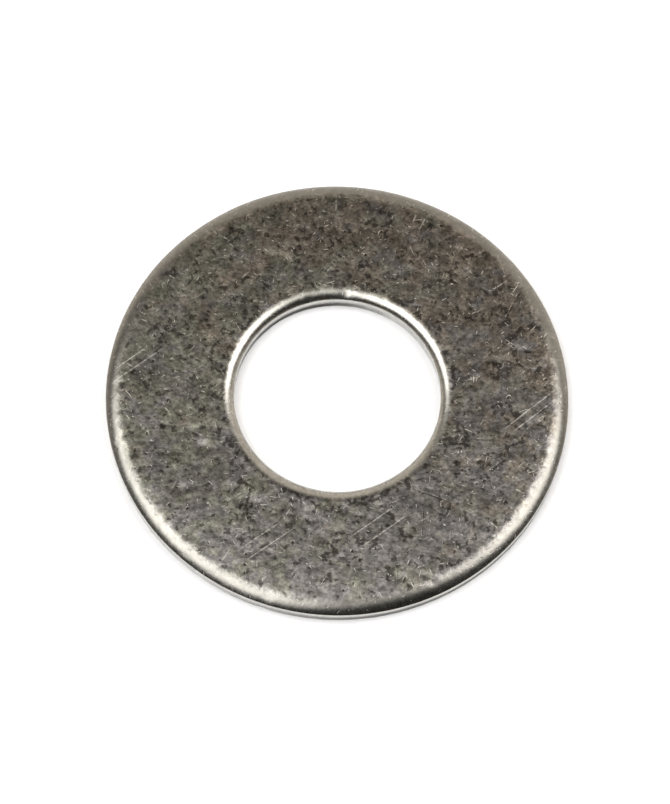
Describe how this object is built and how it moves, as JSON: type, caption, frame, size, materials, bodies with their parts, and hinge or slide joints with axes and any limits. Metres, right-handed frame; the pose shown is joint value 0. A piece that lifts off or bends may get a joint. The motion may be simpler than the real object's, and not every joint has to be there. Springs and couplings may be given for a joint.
{
  "type": "flat washer",
  "caption": "Plain round flat washer of stamped stainless sheet: a thin ring with a central bolt hole, upper edges rolled down at the rim and the bore, tumbled grey surface.",
  "frame": {"origin": "on the bore's axis, in the plane of the underside", "axes": "+Z along the bore's axis, out of the side whose edges are rolled; X and Y are any two directions across the ring"},
  "size_m": [0.0222, 0.0222, 0.001],
  "materials": {
    "stainless_steel": "tumbled stainless, warm grey and mottled, satin, brighter on the rolled edges"
  },
  "bodies": {
    "root": {"washer": "stainless_steel"}
  },
  "joints": []
}
